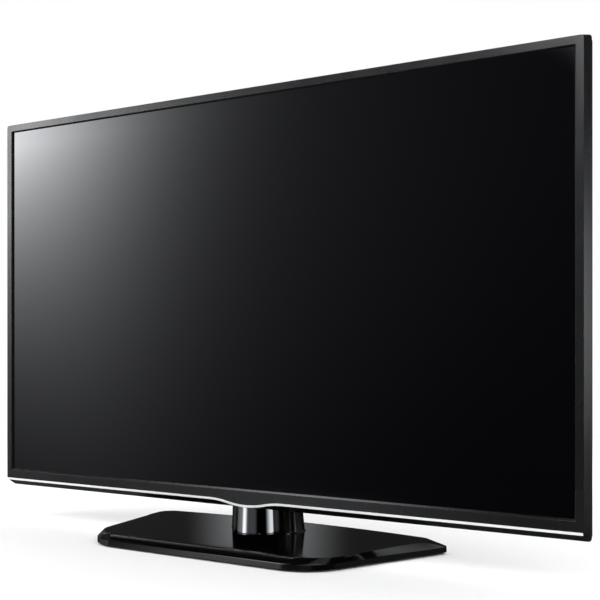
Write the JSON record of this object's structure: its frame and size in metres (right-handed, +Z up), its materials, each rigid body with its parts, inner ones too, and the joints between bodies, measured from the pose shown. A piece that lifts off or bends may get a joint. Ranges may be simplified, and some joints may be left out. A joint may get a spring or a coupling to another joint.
{
  "type": "flat screen television",
  "caption": "Free-standing flat screen television: glass-fronted display in a slim black frame with a silver lower trim, on a chrome and black neck that swivels on a low gloss base.",
  "frame": {"origin": "on the floor under the middle of the pedestal's base, 8 mm behind the set's front face", "axes": "+X to the viewer's right, +Y from the screen towards the back, +Z up"},
  "size_m": [1.1688, 0.3, 0.7641],
  "materials": {
    "frame_black": "moulded ABS, fine satin gloss",
    "trim_silver": "bright silver",
    "screen_glass": "dark anti-reflection filter glass",
    "foam": "closed-cell foam",
    "panel_glass": "clear sealed glass sheets",
    "heat_pad": "matt heat transfer sheet",
    "extrusion": "mill finish",
    "chassis_aluminium": "mill finish sheet",
    "black_screw": "black zinc",
    "back_black": "fine spark texture",
    "zinc_steel": "zinc plated",
    "insert_brass": "turned",
    "circuit_board": "green solder mask",
    "coil_tape": "taped windings",
    "chip_resin": "moulded resin",
    "can_sleeve": "shrink sleeve",
    "socket_metal": "nickel plated",
    "socket_plastic": "moulded",
    "jack_panel_steel": "dark printed steel sheet",
    "stick_plastic": "satin",
    "speaker_plastic": "moulded",
    "cone_paper": "pressed paper",
    "base_gloss_black": "high gloss",
    "plate_steel": "black powder coat",
    "foot_rubber": "matt",
    "washer_nylon": "natural nylon",
    "core_aluminium": "die cast",
    "neck_gloss_black": "high gloss",
    "tube_chrome": "polished chrome"
  },
  "bodies": {
    "base": {"base_cover": "base_gloss_black", "base_plate": "plate_steel", "rubber_feet": "foot_rubber", "base_screws": "black_screw", "pivot_sleeve": "zinc_steel", "upper_washer": "washer_nylon"},
    "television": {"address_boards": "circuit_board", "antenna_socket": "socket_metal", "back_cover": "back_black", "board_capacitors": "can_sleeve", "board_chips": "chip_resin", "board_screws": "zinc_steel", "board_standoffs": "zinc_steel", "chassis_plate": "chassis_aluminium", "chrome_tube": "tube_chrome", "control_board": "circuit_board", "cover_screws": "black_screw", "filter_gasket": "foam", "filter_glass": "screen_glass", "front_frame": "frame_black", "hdmi_sockets": "socket_metal", "heat_pad": "heat_pad", "heat_sinks": "extrusion", "jack_panel": "jack_panel_steel", "lan_socket": "socket_metal", "lower_washer": "washer_nylon", "main_board": "circuit_board", "mains_filter": "coil_tape", "mains_inlet": "socket_plastic", "mains_inlet_pins": "socket_metal", "neck_bracket": "zinc_steel", "neck_core": "core_aluminium", "neck_cover": "neck_gloss_black", "neck_screws": "black_screw", "optical_socket": "socket_plastic", "panel_front_glass": "panel_glass", "panel_rear_glass": "panel_glass", "phono_sockets": "socket_plastic", "power_board": "circuit_board", "power_transformers": "coil_tape", "remote_receiver": "circuit_board", "scan_drive_board": "circuit_board", "spacer_frame": "extrusion", "speaker_boxes": "speaker_plastic", "speaker_drivers": "zinc_steel", "spindle_nut": "zinc_steel", "stick_housing": "back_black", "sustain_board_left": "circuit_board", "sustain_board_right": "circuit_board", "trim_strip": "trim_silver", "tuner_can": "zinc_steel", "usb_socket": "socket_metal", "wall_inserts": "insert_brass", "wall_rails": "zinc_steel"},
    "stick_gimbal": {"stick_gimbal": "stick_plastic"},
    "stick_lever": {"stick_lever": "stick_plastic"},
    "stick_cap": {"stick_cap": "stick_plastic"},
    "cone_left": {"speaker_cone_left": "cone_paper"},
    "cone_right": {"speaker_cone_right": "cone_paper"}
  },
  "joints": [
    {"name": "stand_swivel", "type": "hinge", "parent": "base", "child": "television", "pos_m": [0, 0.042, 0.02], "axis": [0, 0, 1], "range_deg": [-20, 20]},
    {"name": "stick_tilt_vertical", "type": "hinge", "parent": "television", "child": "stick_gimbal", "pos_m": [0.5, 0.036, 0.15], "axis": [1, 0, 0], "range_deg": [-8, 8], "stiffness_Nm_per_rad": 0.03},
    {"name": "stick_tilt_sideways", "type": "hinge", "parent": "stick_gimbal", "child": "stick_lever", "pos_m": [0.5, 0.036, 0.15], "axis": [0, 0, 1], "range_deg": [-8, 8], "stiffness_Nm_per_rad": 0.03},
    {"name": "stick_push", "type": "slide", "parent": "stick_lever", "child": "stick_cap", "axis": [0, -1, 0], "range_m": [0, 0.0008], "stiffness_N_per_m": 500},
    {"name": "cone_left_travel", "type": "slide", "parent": "television", "child": "cone_left", "axis": [0, 1, 0], "range_m": [-0.001, 0.001], "stiffness_N_per_m": 1500},
    {"name": "cone_right_travel", "type": "slide", "parent": "television", "child": "cone_right", "axis": [0, 1, 0], "range_m": [-0.001, 0.001], "stiffness_N_per_m": 1500}
  ]
}
